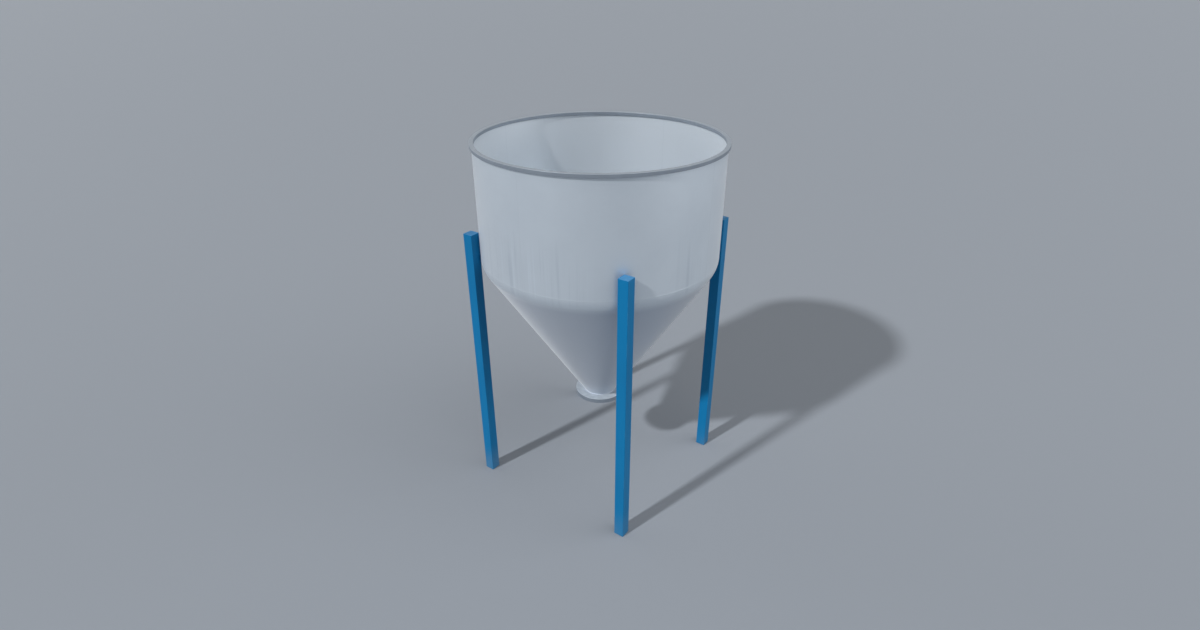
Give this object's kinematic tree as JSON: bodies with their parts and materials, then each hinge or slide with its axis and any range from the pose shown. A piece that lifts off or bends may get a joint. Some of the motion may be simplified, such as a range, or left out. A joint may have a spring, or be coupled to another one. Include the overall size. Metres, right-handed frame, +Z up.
{
  "type": "pellet hopper",
  "caption": "Open-topped round steel hopper with a conical bottom and a flanged outlet, standing on square tube legs.",
  "frame": {"origin": "on the floor, on the hopper's vertical axis, under the middle of the outlet", "axes": "+Z up along the hopper's axis; the legs stand on the diagonals between X and Y, with their faces square to X and Y"},
  "size_m": [1.832, 1.832, 2.83],
  "materials": {
    "shell_steel": "satin light grey over rolled plate, with faint vertical streaks",
    "rim_steel": "satin mid grey",
    "leg_paint": "semi-gloss blue"
  },
  "bodies": {
    "root": {"cone_gore_back_left": "shell_steel", "cone_gore_back_right": "shell_steel", "cone_gore_front_left": "shell_steel", "cone_gore_front_right": "shell_steel", "drum_plate_back_left": "shell_steel", "drum_plate_back_right": "shell_steel", "drum_plate_front_left": "shell_steel", "drum_plate_front_right": "shell_steel", "foot_plate_back_left": "leg_paint", "foot_plate_back_right": "leg_paint", "foot_plate_front_left": "leg_paint", "foot_plate_front_right": "leg_paint", "knuckle_back_left": "shell_steel", "knuckle_back_right": "shell_steel", "knuckle_front_left": "shell_steel", "knuckle_front_right": "shell_steel", "leg_back_left": "leg_paint", "leg_back_right": "leg_paint", "leg_cap_back_left": "leg_paint", "leg_cap_back_right": "leg_paint", "leg_cap_front_left": "leg_paint", "leg_cap_front_right": "leg_paint", "leg_front_left": "leg_paint", "leg_front_right": "leg_paint", "leg_weld_back_left_left": "leg_paint", "leg_weld_back_left_right": "leg_paint", "leg_weld_back_right_left": "leg_paint", "leg_weld_back_right_right": "leg_paint", "leg_weld_front_left_left": "leg_paint", "leg_weld_front_left_right": "leg_paint", "leg_weld_front_right_left": "leg_paint", "leg_weld_front_right_right": "leg_paint", "outlet_flange": "rim_steel", "rim_back_left": "rim_steel", "rim_back_right": "rim_steel", "rim_front_left": "rim_steel", "rim_front_right": "rim_steel"}
  },
  "joints": []
}
